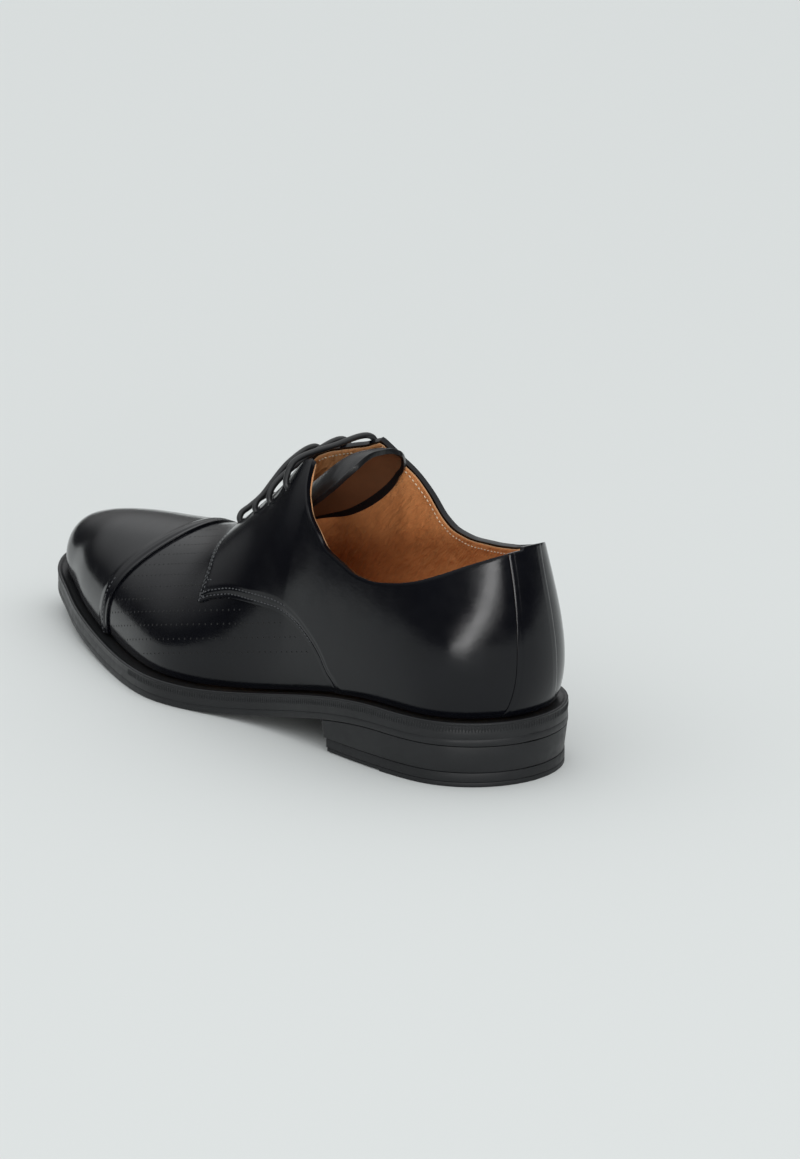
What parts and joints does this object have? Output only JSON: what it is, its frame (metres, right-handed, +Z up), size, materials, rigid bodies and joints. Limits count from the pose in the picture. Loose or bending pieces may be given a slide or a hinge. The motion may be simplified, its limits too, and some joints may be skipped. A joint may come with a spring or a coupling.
{
  "type": "derby shoe",
  "caption": "Black leather derby shoe with a straight toe cap, open lacing, welted low-heeled sole and tan lining, standing empty on its sole",
  "frame": {"origin": "on the floor under the middle of the heel, on the heel's flat tread", "axes": "+X toward the toe, +Y toward the wearer's outer side of this left shoe, +Z up"},
  "size_m": [0.305, 0.0997, 0.1047],
  "materials": {
    "upper_leather": "smooth polished black calf",
    "tongue_leather": "smooth black calf outside, tan lining inside",
    "lace_cord": "waxed round black cord",
    "welt_leather": "black edge-dressed leather, wheeled on top",
    "midsole_edge": "satin black, smooth edge",
    "sole_rubber": "satin black rubber",
    "heel_stack": "satin black, smooth edge",
    "heel_rubber": "matte black rubber",
    "insole_leather": "smooth tan leather",
    "cork": "ground cork, matte"
  },
  "bodies": {
    "root": {"heel_top_piece": "heel_rubber", "heel_block": "heel_stack", "outsole": "sole_rubber", "midsole": "midsole_edge", "welt": "welt_leather", "filler": "cork", "insole": "insole_leather", "upper": "upper_leather", "toe_cap": "upper_leather", "quarter_outer": "upper_leather", "quarter_inner": "upper_leather", "back_strap": "upper_leather", "tongue": "tongue_leather", "lace_bar_1": "lace_cord", "lace_bar_2": "lace_cord", "lace_bar_3": "lace_cord", "lace_bar_4": "lace_cord"}
  },
  "joints": []
}
